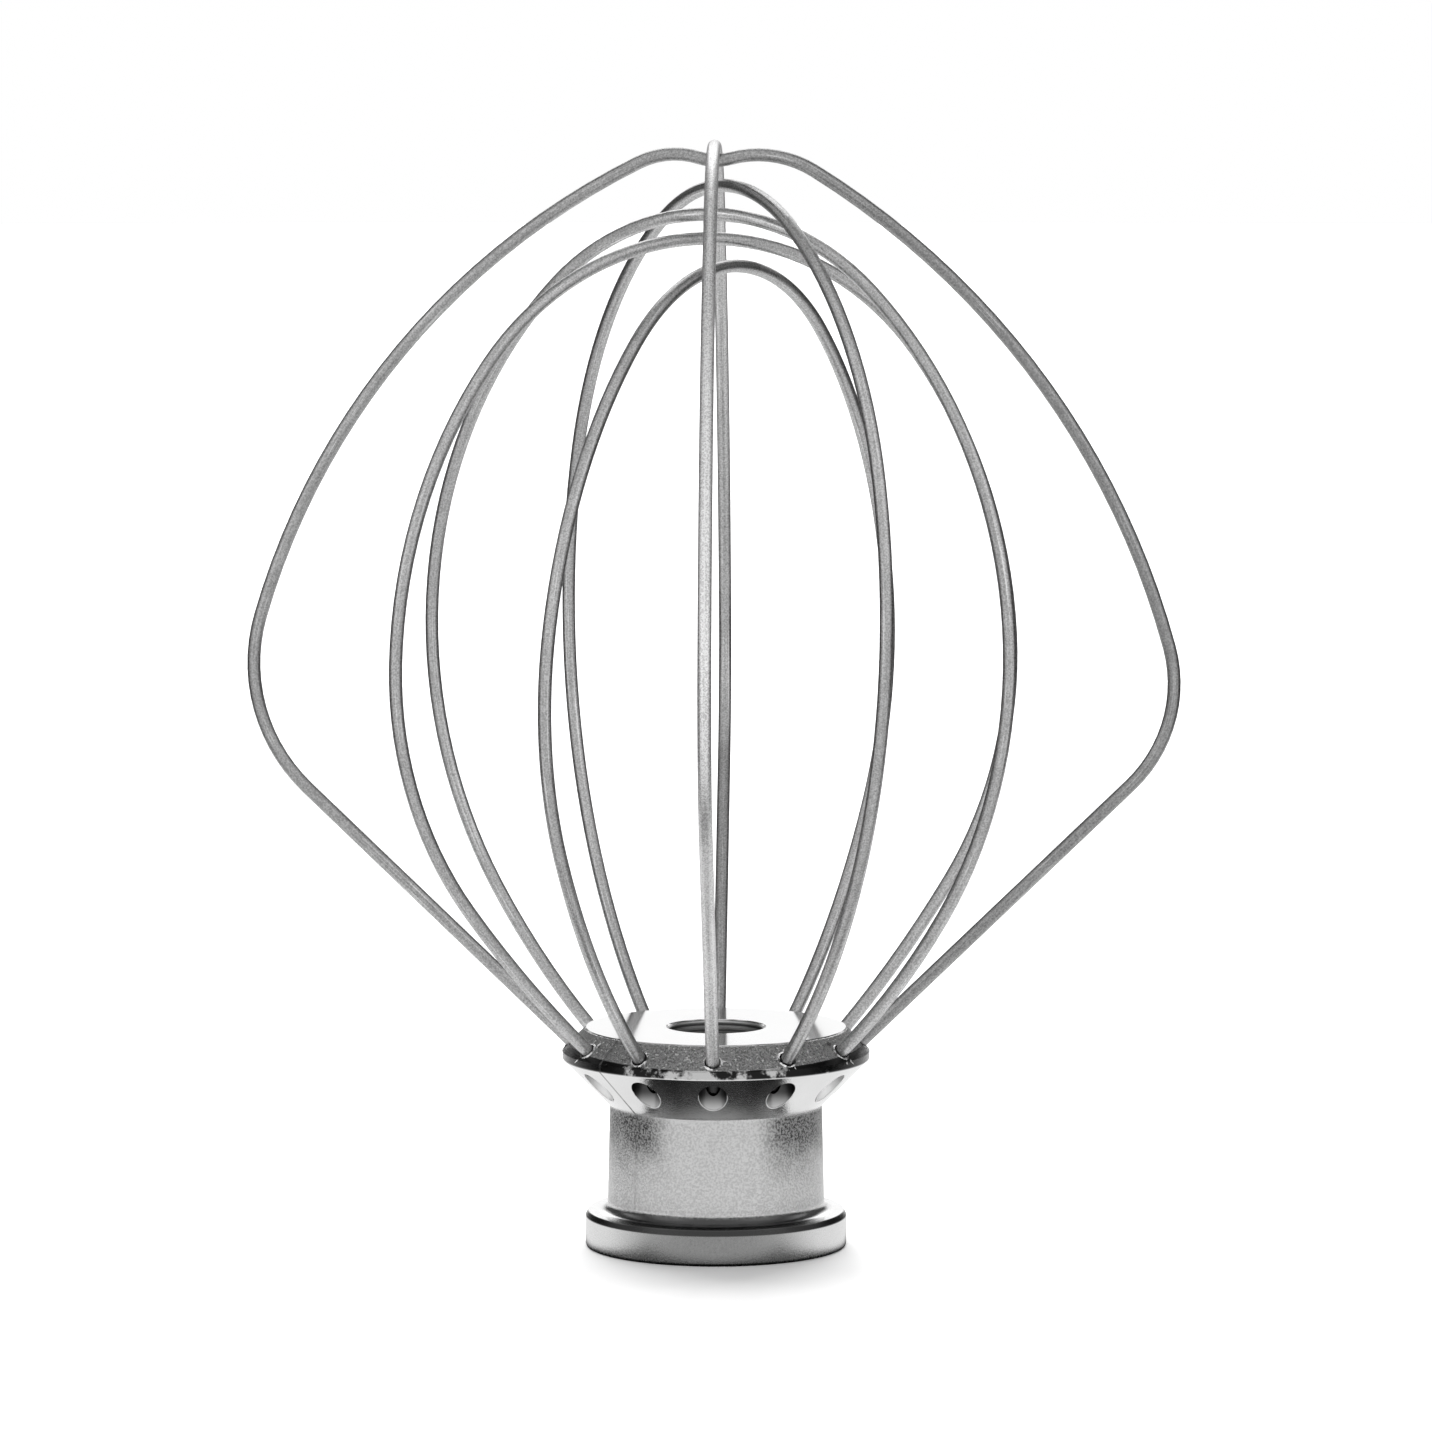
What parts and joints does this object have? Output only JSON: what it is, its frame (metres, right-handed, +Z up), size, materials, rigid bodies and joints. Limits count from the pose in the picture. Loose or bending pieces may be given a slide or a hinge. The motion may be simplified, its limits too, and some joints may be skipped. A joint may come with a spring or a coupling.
{
  "type": "stand mixer wire whip",
  "caption": "Balloon wire whip for a stand mixer: a cast hub slides on the beater shaft and holds looped wires that beat air into cream or egg white.",
  "frame": {"origin": "centre of the hub's foot, on the surface that it stands on", "axes": "+Z up along the shaft bore from the hub's foot to the crown of the wires, +X along the plane of the wide wire that dips at its crown, +Y to the back of the hub, where the pin keyway is"},
  "size_m": [0.1269, 0.1264, 0.151],
  "materials": {
    "cast_aluminium": "satin as cast, with a turned and burnished top disc",
    "wire_steel": "bright drawn stainless wire"
  },
  "bodies": {
    "root": {"hub": "cast_aluminium", "inner_wire_lowest": "wire_steel", "inner_wire_low": "wire_steel", "inner_wire_high": "wire_steel", "inner_wire_highest": "wire_steel", "outer_wire_dipped": "wire_steel", "outer_wire_over": "wire_steel"}
  },
  "joints": []
}
